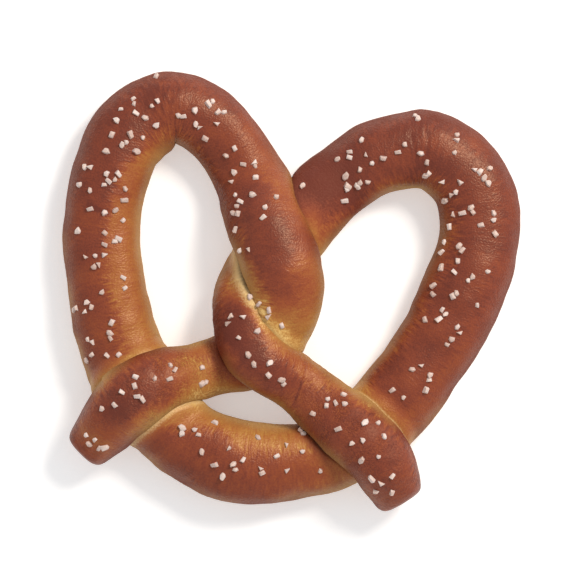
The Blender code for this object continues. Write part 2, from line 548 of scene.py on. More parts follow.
# %% Grown together where strands meet
# station; browning of the skin right beside the other strand, on the left and on the right, which
# beside stations 5 and 21 is set dark as painted shadow of the strand on top; how far beside it that
# tone reaches; how far the skin swells up against it; how much of the stretched, cream-coloured dough
# shows along the line between them, and how wide; and how dark the painted shadow along that line is
CROSSINGS = (
    (4.6, 0.50, 0.50, 6.0, 0.2, 0.0, 1.0, 1.0),
    (5.1, 0.95, 0.90, 6.0, 0.2, 0.0, 1.0, 1.0),
    (5.8, 1.05, 1.00, 6.0, 0.2, 0.0, 1.0, 1.0),
    (6.4, 0.60, 0.60, 4.4, 0.5, 0.0, 1.0, 0.6),
    (7.0, 0.08, 0.10, 4.4, 0.9, 0.3, 1.0, 0.0),
    (7.6, 0.10, 0.10, 4.4, 0.9, 0.3, 1.0, 0.15),
    (8.2, 0.20, 0.20, 4.4, 0.9, 0.3, 1.0, 0.9),
    (9.0, 0.30, 0.30, 4.4, 0.9, 0.2, 1.0, 0.7),
    (17.2, 0.20, 0.20, 4.4, 1.0, 0.2, 0.9, 0.0),
    (18.0, 0.16, 0.30, 4.4, 1.0, 0.25, 0.9, 0.0),
    (18.6, 0.10, 0.25, 4.4, 0.9, 0.7, 1.5, 0.0),
    (19.0, 0.10, 0.20, 4.4, 0.9, 0.7, 1.5, 0.3),
    (19.5, 0.14, 0.20, 4.4, 0.9, 0.2, 1.0, 0.9),
    (20.6, 0.45, 0.45, 4.4, 0.2, 0.0, 1.0, 0.9),
    (21.3, 1.00, 0.50, 4.4, 0.2, 0.0, 1.0, 1.0),
    (21.9, 0.95, 0.30, 4.4, 0.3, 0.0, 1.0, 0.9),
    (22.4, 0.50, 0.30, 4.4, 0.5, 0.3, 0.6, 0.3),
    (22.8, 0.15, 0.30, 5.5, 0.6, 0.9, 0.55, 0.0),
    (23.4, 0.12, 0.25, 5.5, 0.6, 0.9, 0.55, 0.0),
    (30.2, 0.90, 1.00, 7.0, 0.3, 0.0, 0.8, 0.2),
    (30.9, 0.32, 0.95, 6.5, 0.3, 0.15, 0.8, 0.1),
    (31.4, 0.12, 0.75, 5.0, 0.4, 0.15, 0.8, 0.1),
    (32.4, 0.00, 0.05, 5.5, 1.0, 0.8, 2.4, 0.3),
    (32.8, 0.00, 0.00, 5.5, 1.0, 1.0, 3.2, 1.0),
    (33.4, 0.00, 0.00, 5.5, 1.0, 1.0, 3.4, 0.9),
    (34.0, 0.00, 0.02, 5.5, 0.7, 0.9, 2.6, 0.1),
    (35.0, 0.16, 0.30, 4.4, 0.5, 0.1, 1.0, 0.6),
)
FILL = 1.5  # how far the lower strand swells up against the one that lies on it, at the most
FILL_REACH = 4.5  # and how far beside it that swelling begins
BULGE = 0.25  # how far the strand on top bulges over the line where they meet
BULGE_PLACE = 2.5  # how far from the other strand that bulge is highest
BULGE_WIDTH = 2.0
TOP_BLEND = 0.3  # the left side's tone passes into the right's within this of the top
FACING_UP = (1.1, 0.75)  # the sides at which skin starts to face up, and faces up fully

crossing_rows = np.array(CROSSINGS)
tone_on_left, tone_on_right, tone_reach, fill_share, cream_share, cream_width, dark_share = (
    np.interp(station, crossing_rows[:, 0], crossing_rows[:, k]) for k in range(1, 8)
)
crossing_tone = tone_on_right + (tone_on_left - tone_on_right) * smooth_step(side, -TOP_BLEND, TOP_BLEND)
upward = smooth_step(np.abs(side), *FACING_UP)
relief += FILL * fill_share * under * upward * smooth_step(room, FILL_REACH, 0.0)
relief += BULGE * (1 - under) * np.exp(-(((room - BULGE_PLACE) / BULGE_WIDTH) ** 2))
print("Lower strands swell by up to", FILL, "mm where another lies on them")

# %% Wrinkles across the rope
WRINKLE_PITCH = 1.35  # from one fine wrinkle to the next along the rope
WRINKLE_LENGTH = 6.0  # and how far each runs round it
WRINKLE = 0.05
EVERYWHERE = 0.2  # the share of a wrinkle's height that all of the skin carries
IN_BENDS = 0.6  # and the further share on the inside of a tight bend
TIGHT_BEND = 16.0  # a bend of this radius, or less, squeezes the skin on its inside fully
BEND_SPAN = 8.0  # the stretch over which a bend is averaged
LEAST_STEP = 0.01  # keeps rings that nearly touch from being divided by nothing
TOP_SIDES = (1.5, 1.1)  # the sides at which the underside ends, and the top's skin is whole
# Where the skin is gathered right across the top: station, reach and strength.
GATHERS = (
    (13.2, 0.5, 0.9),
    (28.3, 0.3, 0.7),
    (33.6, 0.7, 0.8),
    (36.2, 0.5, 0.6),
    (20.4, 1.2, 0.4),
)


def bend_squeeze():
    """How tightly the rope bends towards its left at every ring: 1 over the radius of the bend."""
    heading = np.unwrap(np.arctan2(-lefts[:, 0], lefts[:, 1]))
    turning = np.gradient(heading) / np.maximum(np.gradient(ring_travel), LEAST_STEP)
    turning[np.minimum(ring_travel, rope_length - ring_travel) < TIP_LENGTH] = 0
    window = max(3, round(BEND_SPAN / RING_STEP))
    return np.convolve(turning, np.ones(window) / window, mode="same")


squeezed = np.clip(bend_squeeze()[ring] * across * TIGHT_BEND, 0, 1)
gathered = np.zeros(len(skin))
for place, reach, strength in GATHERS:
    gathered += strength * np.exp(-(((station - place) / reach) ** 2))
on_top = smooth_step(np.abs(side), *TOP_SIDES)
wrinkled = on_top * (EVERYWHERE + (1 - EVERYWHERE) * np.maximum(IN_BENDS * squeezed, gathered))
wrinkle_places = np.stack([travel / WRINKLE_PITCH, around / WRINKLE_LENGTH], axis=1)
relief += WRINKLE * wrinkled * ripple(wrinkle_places, 1.0, seed=11)
print("Wrinkles are up to", round(WRINKLE * float(wrinkled.max()), 3), "mm high")


# %% Single creases, folds and dents
USUAL_HALF = 10.0  # the rope's usual half width
# How deep, how wide, and the spots that the groove passes through, each a station and a place across.
GROOVES = (
    (0.22, 0.4, ((35.83, 0.7), (35.96, 0.25), (36.12, -0.17), (36.25, -0.5))),
    (0.35, 1.6, ((13.0, 1.0), (13.05, 0.7))),
    (0.12, 0.6, ((15.28, 0.75), (15.1, 0.0))),
    (0.10, 0.5, ((15.62, 0.3), (15.6, -0.5))),
    (0.12, 0.5, ((28.12, 0.2), (28.2, -0.5))),
    (0.10, 0.5, ((28.42, 0.1), (28.46, -0.45))),
)
# The same for long swellings along a limb, how high first. A dent is a swelling of less than nothing.
SWELLINGS = (
    (1.5, 3.5, ((13.55, 1.0), (14.25, 1.0))),
    (0.8, 4.0, ((9.6, 1.0), (10.5, 1.0))),
    (0.6, 4.0, ((24.6, 1.0), (25.4, 1.0))),
    (0.5, 4.0, ((29.4, -1.0), (30.3, -1.0))),
    (0.4, 5.0, ((26.2, -1.0), (28.0, -1.0))),
    (0.35, 5.0, ((12.4, -1.0), (14.2, -1.0))),
    (-0.6, 3.5, ((35.1, -1.0), (36.4, -1.0))),
)


def station_travel(place):
    """How far along the rope a station lies, in millimetres."""
    return float(np.interp(place, route_station, route_travel))


def along_path(size, width, spots):
    """A soft ridge along a path of spots: its size on the path, and nothing a few widths away."""
    here = np.stack([travel, around], axis=1)
    path = [np.array((station_travel(place), USUAL_HALF * math.asin(out))) for place, out in spots]
    nearest = np.full(len(here), FAR)
    for start, stop in zip(path, path[1:]):
        run = stop - start
        share = np.clip((here - start) @ run / (run @ run), 0, 1)
        nearest = np.minimum(nearest, np.linalg.norm(here - start - share[:, None] * run, axis=1))
    return size * np.exp(-((nearest / width) ** 2))


groove = sum(along_path(*row) for row in GROOVES)
swelling = sum(along_path(*row) for row in SWELLINGS)
relief += (swelling - groove) * on_top
print("Creases and folds are up to", round(float(groove.max()), 2), "mm deep")

# %% [markdown]
# ## The underside
#
# The tray flattens what touches it. Rather than slicing the rope off, the skin below the tray is
# pushed up to it with a small rounded rim, as dough settles. The tray was a little rough, so the flat
# part has shallow dimples too. The two ends were cut with a scraper and squared by hand, and their flats
# are pressed in the same way.
#
# Where the rope bends most tightly, the rings on the inside come so close that the skin would fold
# through itself. There it is evened out first, as a smoothing brush would do it.

# %% Flats, and evening out
RIM = 0.6  # how softly the side turns into the flat base
BASE_DIMPLES = (0.12, 4.5)  # how high the bumps between the base's dimples are, and how far apart
BASE_REACH = 1.0  # how far above the tray those dimples have gone
TIP_CALM = 2.0  # the relief dies away where the half width is under this, so that the ends close
FOLD_RISK = (0.55, 0.8)  # how far the skin is squeezed where it starts to be evened out, and is fully
EVENINGS = 40
# Where a scraper cut the ends and hands squared their sides: a spot on each flat, the bearing that it
# faces in degrees from the X axis, and the stations between which it lies.
FLATS = (
    ((-50.2, -53.1), 234.0, 0.0, 2.5),
    ((-53.5, -44.75), 162.0, 0.0, 2.5),
    ((44.9, -52.3), -49.5, 38.5, 41.0),
    ((47.0, -39.45), 21.0, 38.0, 41.0),
)
FLAT_SOFTNESS = 2.4


def press_back(skin, spot, bearing, there):
    """Presses what lies beyond an upright plane back to it, with a softly rounded edge."""
    facing = np.array([math.cos(math.radians(bearing)), math.sin(math.radians(bearing))])
    beyond = (skin[:, :2] - spot) @ facing
    pressed = 0.5 * (beyond - np.sqrt(beyond**2 + FLAT_SOFTNESS**2))
    skin = skin.copy()
    skin[:, :2] += np.where(there, pressed - beyond, 0)[:, None] * facing
    return skin


def relax(skin, share, rounds):
    """Evens the skin out along the rope, where a tight bend would fold it through itself."""
    order = np.lexsort((sheet[:, 1], ring))
    rows = skin[order].reshape(len(ring_travel), -1, 3)
    share = share[order].reshape(len(ring_travel), -1, 1)
    for _ in range(rounds):
        between = (rows[:-2] + rows[2:]) / 2
        rows[1:-1] += share[1:-1] * (between - rows[1:-1]) / 2
    relaxed = skin.copy()
    relaxed[order] = rows.reshape(-1, 3)
    return relaxed


print("Flats to press back:", len(FLATS))

# %% Push the skin out and settle it on the tray
relief *= np.clip(halves[ring] / TIP_CALM, 0, 1)
skin += relief[:, None] * outward
skin = relax(skin, smooth_step(squeezed, *FOLD_RISK), EVENINGS)
for spot, bearing, first, last in FLATS:
    skin = press_back(skin, spot, bearing, (station >= first) & (station <= last))
dimple_height, dimple_size = BASE_DIMPLES
tray_dimples = dimple_height * (1 + ripple(skin * (1, 1, 0), dimple_size, seed=13)) / 2
skin[:, 2] = 0.5 * (skin[:, 2] + np.sqrt(skin[:, 2] ** 2 + RIM**2))
skin[:, 2] += tray_dimples * smooth_step(skin[:, 2], BASE_REACH, 0.0)
skin[:, 2] -= skin[:, 2].min()
box_middle = (skin.min(axis=0) + skin.max(axis=0)) / 2
skin[:, 0] += solid_middle.x / MM - box_middle[0]
skin[:, 1] += solid_middle.y / MM - box_middle[1]
crust.data.vertices.foreach_set("co", (skin * MM).astype(np.float32).ravel())
crust.data.update()
print("The skin measures", np.ptp(skin, axis=0).round(1), "mm with its relief")

# %% [markdown]
# ## What the oven did
#
# Lye-dipped dough browns most where it faces the oven's top heat, so the top of the rope is chestnut
# and its flanks stay golden, palest of all beside a crossing, where one strand shades another. How far
# up the golden flank climbs differs from stretch to stretch. The list below says it in a baker's terms,
# and the rope in between is blended.
#
# The browning is stored on the skin as a number from 0, pale, to 1, chestnut. Beside a few crossings
# the same number also carries painted shadow: it is set dark where the strand on top shades the one
# below. The material turns it into colour later. It belongs to the mesh rather than to the material,
# because it follows the rope and its crossings, which a material knows nothing about. A few more
# numbers go with it: where the low limbs are, where the skin is matt, streaked or leathery, and where
# strands meet.

# %% Browning of each stretch
# station, left flank, where it begins, top, right flank, where it begins
# A flank that begins at 0 reaches the middle of the top, and one that begins at 1 is only the limb.
BROWNING = (
    (0.0, 1.00, 0.7, 0.97, 0.66, 0.75),
    (1.4, 1.00, 0.75, 0.56, 0.82, 0.68),
    (2.6, 0.44, 0.66, 1.02, 0.42, 0.50),
    (3.4, 0.72, 0.7, 0.92, 0.30, 0.56),
    (3.9, 0.66, 0.5, 0.74, 0.22, 0.50),
    (4.6, 0.52, 0.4, 0.29, 0.20, 0.5),
    (5.3, 0.40, 0.3, 0.34, 0.26, 0.6),
    (7.3, -0.10, 0.4, 0.00, 0.20, 0.5),
    (7.9, 0.00, 0.5, 0.40, 0.46, 0.3),
    (8.4, 0.22, 0.45, 0.80, 0.58, 0.3),
    (9.2, 0.44, 0.72, 0.95, 0.72, 0.46),
    (10.2, 0.68, 0.85, 0.86, 0.60, 0.35),
    (11.2, 0.72, 0.9, 0.80, 0.72, 0.4),
    (12.4, 0.58, 0.7, 0.86, 0.86, 0.6),
    (13.4, 0.60, 0.55, 0.90, 0.86, 0.8),
    (14.6, 0.46, 0.35, 0.92, 0.88, 0.9),
    (15.4, 0.50, 0.10, 0.90, 0.78, 0.9),
    (16.2, 0.46, 0.03, 0.80, 0.62, 0.9),
    (17.6, 0.46, 0.09, 0.78, 0.44, 0.9),
    (19.0, 0.36, 0.12, 0.80, 0.60, 0.9),
    (19.6, 0.36, 0.60, 0.84, 0.66, 0.9),
    (20.4, 0.30, 0.24, 0.78, 0.72, 0.9),
    (21.6, 0.38, 0.40, 0.48, 0.40, 0.7),
    (23.4, 0.50, 0.85, 0.88, 0.64, 0.4),
    (24.2, 0.66, 0.8, 0.85, 0.82, 0.42),
    (25.2, 0.68, 0.65, 0.91, 0.84, 0.42),
    (27.0, 0.66, 0.62, 0.89, 0.94, 0.55),
    (28.4, 0.34, 0.72, 0.95, 1.03, 0.7),
    (29.2, 0.44, 0.75, 0.90, 1.02, 0.7),
    (30.2, 0.74, 0.85, 1.08, 1.06, 0.7),
    (32.6, -0.05, -0.2, 0.14, 0.42, 0.4),
    (33.2, -0.03, -0.2, 0.20, 0.48, 0.4),
    (33.6, 0.00, -0.12, 0.44, 0.64, 0.6),
    (34.0, 0.04, 0.00, 0.88, 0.86, 0.8),
    (34.4, 0.26, 0.28, 1.12, 0.94, 0.9),
    (34.8, 0.42, 0.46, 1.00, 0.66, 0.6),
    (36.0, 0.54, 0.20, 0.78, 0.46, 0.7),
    (37.2, 0.46, 0.60, 0.80, 0.64, 0.8),
    (38.4, 0.44, 0.8, 0.90, 0.52, 0.8),
    (39.4, 1.00, 0.8, 0.82, 0.68, 0.8),
    (41.0, 1.00, 0.8, 0.82, 0.74, 0.9),
)

browning_rows = np.array(BROWNING)
left_flank, left_start, top, right_flank, right_start = (
    np.interp(station, browning_rows[:, 0], browning_rows[:, k]) for k in range(1, 6)
)
print("Stretches of rope with a tone of their own:", len(BROWNING))

# %% From stretches to spots
FLANK_SOFTNESS = 0.25  # half the width of the change from top to flank
FLANK_WANDER = (0.10, 11.0)  # how far that change wanders, and the distance between its bays
UNDERSIDE = 0.42
UNDERSIDE_SIDES = (1.0, 1.45)  # the sides between which a flank's tone turns into the underside's
SHADE_FALL = 1.3  # more makes the shade of another strand fade sooner
SHADE_SHARE = 0.9  # how far a crossing's tone replaces the stretch's own
SHADE_ABOVE = 0.25  # the share of that which the strand on top takes
DRIFT = (0.05, 14.0)  # how far the tone drifts all over, and the distance between its blotches

bay_depth, bay_size = FLANK_WANDER
wander = bay_depth * ripple(skin, bay_size, seed=17)
to_left = smooth_step(across + wander, left_start - FLANK_SOFTNESS, left_start + FLANK_SOFTNESS)
to_right = smooth_step(-across + wander, right_start - FLANK_SOFTNESS, right_start + FLANK_SOFTNESS)
browning_and_painted_shade = top + (left_flank - top) * to_left + (right_flank - top) * to_right
browning_and_painted_shade += (UNDERSIDE - browning_and_painted_shade) * smooth_step(np.abs(side), *UNDERSIDE_SIDES)
shaded = np.clip(1 - room / tone_reach, 0, 1) ** SHADE_FALL * (SHADE_ABOVE + (1 - SHADE_ABOVE) * under)
# Painted shadow: beside stations 5 and 21 the crossing's dark tone stands for the shadow that the strand
# on top casts. Elsewhere the tone is mostly the pale dough that the strand on top kept from the heat.
browning_and_painted_shade += (crossing_tone - browning_and_painted_shade) * shaded * SHADE_SHARE
drift, drift_size = DRIFT
browning_and_painted_shade += drift * ripple(skin, drift_size, seed=19)
print("Browning runs from", round(float(browning_and_painted_shade.min()), 2), "to", round(float(browning_and_painted_shade.max()), 2))

# %% Scars and the limbs round the holes
# Two short scores in the dough that baked browner: how much browner, how wide, and their spots.
SCARS = (
    (0.22, 0.9, ((15.17, 0.0), (15.29, 0.62))),
    (0.22, 0.8, ((15.53, -0.4), (15.64, 0.2))),
)
HOLE_LIMB = (0.65, 1.0, 1.2, 1.5)  # the sides where the limb that faces a hole begins, is full, and ends
HOLE_LIMB_PALER = 0.18  # how much less it browns, where it is pale already
HOLE_LIMB_FADE = 1.3  # more spares the browner ones sooner


def band(value, start, full, fade, stop):
    """0 up to start, 1 from full to fade, and 0 again from stop."""
    return smooth_step(value, start, full) * smooth_step(value, stop, fade)


browning_and_painted_shade += sum(along_path(*row) for row in SCARS)
hole_limb = band(side, *HOLE_LIMB)
browning_and_painted_shade -= HOLE_LIMB_PALER * hole_limb * np.clip(1 - HOLE_LIMB_FADE * browning_and_painted_shade, 0, 1)
print("Skin on limbs that face a hole:", round(100 * float((hole_limb > 0).mean())), "%")

# %% Low limbs, matt patches and streaks
LIMB = (0.45, 0.85, 1.3, 1.6)  # the sides where the limb's painted shade begins, is full, and ends
MATT_FLANK = (0.6, 1.0)  # the sides between which the satin top turns matt
ALL_ROUND = (3.0, 2.5)  # no spot's side is past these, so a patch covers them all
RIGHT_HALF = (0.12, -0.05)
# Patches on top that are matt as well: how matt, their stations, and the sides where they begin.
MATT_PATCHES = (
    (1.0, (29.6, 30.2, 31.2, 31.8), ALL_ROUND),
    (1.0, (33.6, 34.0, 34.7, 35.2), RIGHT_HALF),
    (0.4, (37.4, 37.9, 38.8, 39.4), ALL_ROUND),
)
STREAKS_ALL_OVER = 0.2
STREAKS_ON_LEFT = 4.0  # where the top's tone turns into the left flank's
STREAKS_ON_RIGHT = 1.2  # and into the right flank's
STREAKS_IN_BENDS = 0.3
STREAKS_IN_GATHERS = 0.4
CALMER = 0.7  # the share of its streaks that skin loses on the inside of a bend, or in the shade

# Painted shade: the low limbs get a duller, darker colour in the material, standing in for the light
# falling off at the rope's edges and toning down the pale sheen they catch.
limb = band(np.abs(side), *LIMB)
patches = np.zeros(len(skin))
for share, stretch, sides in MATT_PATCHES:
    patches += share * band(station, *stretch) * smooth_step(side, *sides)
matt = np.maximum(smooth_step(np.abs(side), *MATT_FLANK), patches)
streaked = STREAKS_ON_LEFT * to_left * (1 - to_left) * (1 - CALMER * squeezed)
streaked += STREAKS_ON_RIGHT * to_right * (1 - to_right) + STREAKS_ALL_OVER
streaked += STREAKS_IN_BENDS * squeezed + STREAKS_IN_GATHERS * gathered
streaked = np.clip(streaked, 0, 1) * on_top * (1 - CALMER * shaded)
print("Skin with strong streaks:", round(100 * float((streaked > 0.5).mean())), "%")

# %% Leathery stretches
# The two ends and the arm under the twist were handled most, so their skin is mottled like leather. It
# comes in blotches, and least on the very tips.
LEFT_HANDLED = (6.2, 4.6)  # the stations where the handled stretch begins and is full
LEFT_TIP = (1.0, 4.0)  # the stations between which the tip's smoother skin ends
RIGHT_HANDLED = (35.6, 37.0)
RIGHT_TIP = (39.5, 38.0)
TIP_SHARE = 0.3  # the share of it that a tip still has
BLOTCH_SHARE = 0.55  # how leathery it is between its blotches and its smooth spots
BLOTCHES = (0.6, 6.0)  # how far the blotches go past that, and the distance between them

leathery = np.zeros(len(skin))
for handled, tip in ((LEFT_HANDLED, LEFT_TIP), (RIGHT_HANDLED, RIGHT_TIP)):
    mottling = smooth_step(station, *handled) * (TIP_SHARE + (1 - TIP_SHARE) * smooth_step(station, *tip))
    leathery = np.maximum(leathery, mottling)
blotch, blotch_size = BLOTCHES
leathery *= np.clip(BLOTCH_SHARE + blotch * ripple(skin, blotch_size, seed=23), 0, 1) * on_top
print("Leathery skin:", round(100 * float((leathery > 0.3).mean())), "%")


# %% Store them on the skin
UNDER_GAIN = 1.6  # a strand counts as the lower one before it lies a whole strand lower
GROOVE_FULL = 0.3  # the depth from which a groove's painted shade is as dark as it gets


def corner_vertices(mesh):
    """The vertex at each corner of each face."""
    corners = np.empty(len(mesh.loops), np.int32)
    mesh.loops.foreach_get("vertex_index", corners)
    return corners


def store(mesh, name, values):
    """Keeps one number for each corner of each face, which survives the joining of the strands."""
    attribute = mesh.attributes.new(name, "FLOAT", "CORNER")
    attribute.data.foreach_set("value", values[corner_vertices(mesh)].astype(np.float32))


numbers = {
    "browning_and_painted_shade": browning_and_painted_shade,
    "streaked": streaked,
    "leathery": leathery,
    "groove": np.clip(groove / GROOVE_FULL, 0, 1),
    "cream": np.clip(UNDER_GAIN * under, 0, 1) * cream_share,
    "dark": under * dark_share,
    "limb": limb,
    "matt": matt,
    "cream_width": cream_width,
}
for name, values in numbers.items():
    store(crust.data, name, values)
rolled = crust.data.attributes.new("rolled", "FLOAT", "POINT")  # the union gives new vertices 0
rolled.data.foreach_set("value", np.ones(len(skin), np.float32))
print("Stored on the skin:", ", ".join(numbers))

# %% [markdown]
# ## One skin from two strands
#
# The rolled skin passes through itself at the crossings. A voxel remesh would melt the strands into one,
# but it would lose the UV map and the stored numbers. A Boolean union of the mesh with itself, run in
# edit mode, keeps both. It wants a closed skin of triangles that all face outwards, so the seam is
# welded, and the faces are turned and cut into triangles first.
#
# The union leaves a few specks, and a few edges where the skin isn't quite closed. Those spots are cut
# out and filled, until every edge has one face on each side.
#
# The new vertices that the union makes lie on the lines where strands meet. That is where the cream of
# stretched dough and the painted shadow of an overhang go, and the skin is pressed in a little along them
# too.

# %% Close the seam and join the strands
WELD = 0.001 * MM
KEEN_EDGE = 50.0  # degrees between two faces past which their edge stays sharp

select_only(crust)
bpy.ops.object.mode_set(mode="EDIT")
bpy.ops.mesh.select_all(action="SELECT")
bpy.ops.mesh.remove_doubles(threshold=WELD)
bpy.ops.object.mode_set(mode="OBJECT")
inside_out = max(crust.data.polygons, key=lambda face: face.center.z).normal.z < 0
bpy.ops.object.mode_set(mode="EDIT")
bpy.ops.mesh.select_all(action="SELECT")
if inside_out:
    bpy.ops.mesh.flip_normals()
bpy.ops.mesh.quads_convert_to_tris()
bpy.ops.mesh.select_all(action="SELECT")
bpy.ops.mesh.intersect_boolean(operation="UNION", use_self=True, solver="EXACT")
bpy.ops.object.mode_set(mode="OBJECT")
print("The crust has", len(crust.data.polygons), "triangles. It had to be turned outwards:", inside_out)

# %% Drop the specks that the union leaves and check that the skin is closed
SPECK = 0.002 * MM  # faces and edges smaller than this are dissolved
MENDINGS = 8  # rounds of cutting out and filling, at the most


def keep_main_part(obj):
    """Deletes every loose part of the mesh but the one that holds its highest spot."""
    select_only(obj)
    bpy.ops.object.mode_set(mode="EDIT")
    bpy.ops.mesh.select_all(action="DESELECT")
    bpy.ops.object.mode_set(mode="OBJECT")
    highest = max(obj.data.vertices, key=lambda vertex: vertex.co.z)
    highest.select = True
    bpy.ops.object.mode_set(mode="EDIT")
    bpy.ops.mesh.select_mode(type="VERT")
    bpy.ops.mesh.select_linked()
    bpy.ops.mesh.select_all(action="INVERT")
    bpy.ops.mesh.delete(type="VERT")
    bpy.ops.mesh.select_all(action="SELECT")
    bpy.ops.mesh.dissolve_degenerate(threshold=SPECK)
    bpy.ops.mesh.select_all(action="SELECT")
    bpy.ops.mesh.quads_convert_to_tris()
    bpy.ops.object.mode_set(mode="OBJECT")


def count_flaws(mesh):
    """How many edges don't have exactly one face on each side."""
    edges = np.empty(len(mesh.loops), np.int32)
    mesh.loops.foreach_get("edge_index", edges)
    return int((np.bincount(edges, minlength=len(mesh.edges)) != 2).sum())


def mend(obj):
    """Cuts out the spots where the mesh isn't properly closed, and fills them again."""
    bpy.ops.object.mode_set(mode="EDIT")
    bpy.ops.mesh.select_mode(type="VERT")
    bpy.ops.mesh.select_all(action="DESELECT")
    bpy.ops.mesh.select_non_manifold()
    bpy.ops.mesh.select_more()
    bpy.ops.mesh.delete(type="VERT")
    bpy.ops.mesh.select_all(action="SELECT")
    bpy.ops.mesh.fill_holes(sides=0)
    bpy.ops.mesh.select_all(action="SELECT")
    bpy.ops.mesh.quads_convert_to_tris()
    bpy.ops.object.mode_set(mode="OBJECT")


keep_main_part(crust)
for _ in range(MENDINGS):
    flaws = count_flaws(crust.data)
    if flaws == 0:
        break
    print(flaws, "edges aren't closed, so they are cut out and filled")
    mend(crust)
    keep_main_part(crust)
bpy.ops.object.shade_smooth_by_angle(angle=math.radians(KEEN_EDGE))
print(len(crust.data.polygons), "triangles kept, and", count_flaws(crust.data), "edges that aren't closed")

# %% How near each spot is to the line where two strands meet
LINE_WIDTH = 0.55  # millimetres from the line to where its painted shadow has mostly gone
LINE_DEPTH = 0.35  # how much deeper the line is pressed where the strand on top overhangs it
DARK_GAIN = 1.6  # as for the cream, a line's painted shadow is full before its strand lies a whole strand lower


def find_lines(mesh):
    """For every vertex the nearest one on a line where strands meet, and the millimetres to it."""
    rolled = np.empty(len(mesh.vertices), np.float32)
    mesh.attributes["rolled"].data.foreach_get("value", rolled)
    places = read_places(mesh) / MM
    lines = np.flatnonzero(rolled < 0.5)
    tree = KDTree(len(lines))
    for index in lines:
        tree.insert(places[index], int(index))
    tree.balance()
    found = [tree.find(place) for place in places]
    return np.array([index for _, index, _ in found]), np.array([gap for _, _, gap in found])


def read_corners(mesh, name):
    """The numbers stored at the corners of the faces."""
    values = np.empty(len(mesh.loops), np.float32)
    mesh.attributes[name].data.foreach_get("value", values)
    return values


nearest, gaps = find_lines(crust.data)
corners = corner_vertices(crust.data)
cream = read_corners(crust.data, "cream")
cream *= np.exp(-((gaps[corners] / read_corners(crust.data, "cream_width")) ** 2))
crust.data.attributes["cream"].data.foreach_set("value", cream.astype(np.float32))
# The dark along each line is painted shadow, under the strand that overhangs it; the line is also pressed
# in.
line_dark = np.zeros(len(gaps))
np.maximum.at(line_dark, corners, read_corners(crust.data, "dark"))
line_dark = np.clip(DARK_GAIN * line_dark[nearest], 0, 1) * np.exp(-((gaps / LINE_WIDTH) ** 2))
crust.data.attributes["dark"].data.foreach_set("value", line_dark[corners].astype(np.float32))
normals = np.empty(len(gaps) * 3, np.float32)
crust.data.vertex_normals.foreach_get("vector", normals)
pressed = read_places(crust.data) - (LINE_DEPTH * MM * line_dark)[:, None] * normals.reshape(-1, 3)
crust.data.vertices.foreach_set("co", pressed.astype(np.float32).ravel())
for name in ("rolled", "cream_width"):
    crust.data.attributes.remove(crust.data.attributes[name])
crust.data.update()
print("Spots on a line where strands meet:", int((gaps < LINE_WIDTH).sum()))

# %% [markdown]
# ## The crust's finish
#
# Lye-dipped crust is smooth and faintly shiny, like waxed leather. Its colour runs from straw through
# gold and rust to chestnut as it browns. Close up the browning breaks into fine streaks and ridges
# across the rope, and into pale veins on the leathery stretches. A thin sheen lies over it, dulled by
# tiny pores.
#
# A painted texture could hold all that, but it would be tied to one size. Here noises of a real size
# move the stored browning up or down, and a colour ramp turns the result into colour. The streaks and
# ridges follow the rope, so they read the UV map, and the rest reads Object coordinates.

# %% Streaks, veins, pores and clouds
STREAK_PITCH = 1.2  # broad streaks: from one to the next along the rope
STREAK_LENGTH = 5.0  # and how far each runs round it
STREAK = 0.15  # how far a streak moves the browning up or down
RIDGE_PITCH = 0.62  # fine ridges between them, as on a fingertip
RIDGE_LENGTH = 3.6
RIDGE = 0.18
VEIN_SIZE = 0.9  # meshes of the pale veins in leathery skin
VEIN_WIDTH = 0.10  # how far from its middle value the noise leaves a vein
VEIN_PALER, MESH_BROWNER = -0.21, 0.05  # how far a vein, and the mesh inside it, move the browning
PORE_SIZE = 0.5
PORE = 0.07  # how far a pore moves the browning
CLOUD_SIZE = 7.0
CLOUD = 0.06  # and how far a broad cloud does
GIRTH = 2 * math.pi * USUAL_HALF
NOISE_LOW, NOISE_HIGH = 0.3, 0.7  # a noise seldom leaves this range


def crust_patterns(material, rope, places):
    """Lines across the rope, veins, pores, clouds and grain, as the sockets that carry them."""
    noises = {}
    for name, pitch, length, settings in (
        ("streaks", STREAK_PITCH, STREAK_LENGTH, {"Detail": 2.0}),
        ("ridges", RIDGE_PITCH, RIDGE_LENGTH, {"Distortion": 0.5}),
    ):
        stretch = {"Vector": rope, "Scale": (rope_length / pitch, GIRTH / length, 1)}
        stretched = add(material, "Mapping", stretch).outputs[0]
        spacing = {"Vector": stretched, "Scale": 1.0, **settings}
        noises[name] = add(material, "TexNoise", spacing).outputs[0]
    for name, size, settings in (
        ("veins", VEIN_SIZE, {"Detail": 2.0, "Distortion": 0.2}),
        ("pores", PORE_SIZE, {"Detail": 1.0}),
        ("clouds", CLOUD_SIZE, {"Detail": 3.0}),
    ):
        spacing = {"Vector": places, "Scale": 1 / (size * MM), **settings}
        noises[name] = add(material, "TexNoise", spacing).outputs[0]

    levels = {}
    for name, noise, reach in (
        ("streaks", noises["streaks"], STREAK),
        ("ridges", noises["ridges"], RIDGE),
        ("clouds", noises["clouds"], CLOUD),
        ("grain", noises["pores"], PORE),
    ):
        spread = {0: noise, 1: NOISE_LOW, 2: NOISE_HIGH, 3: -reach, 4: reach}
        levels[name] = add(material, "MapRange", spread).outputs[0]
    lines = add(material, "Math", {0: levels["streaks"], 1: levels["ridges"]}, operation="ADD")

    # A vein is the thin line along which a noise passes through its middle value.
    veins = add(material, "Math", {0: noises["veins"], 1: 0.5}, operation="SUBTRACT")
    veins = add(material, "Math", {0: veins.outputs[0]}, operation="ABSOLUTE")
    spread = {0: veins.outputs[0], 1: 0.0, 2: VEIN_WIDTH, 3: VEIN_PALER, 4: MESH_BROWNER}
    veins = add(material, "MapRange", spread)
    return lines.outputs[0], veins.outputs[0], noises["pores"], levels["clouds"], levels["grain"]


print("Streaks lie", STREAK_PITCH, "mm apart, ridges", RIDGE_PITCH, "mm, and pores", PORE_SIZE, "mm")

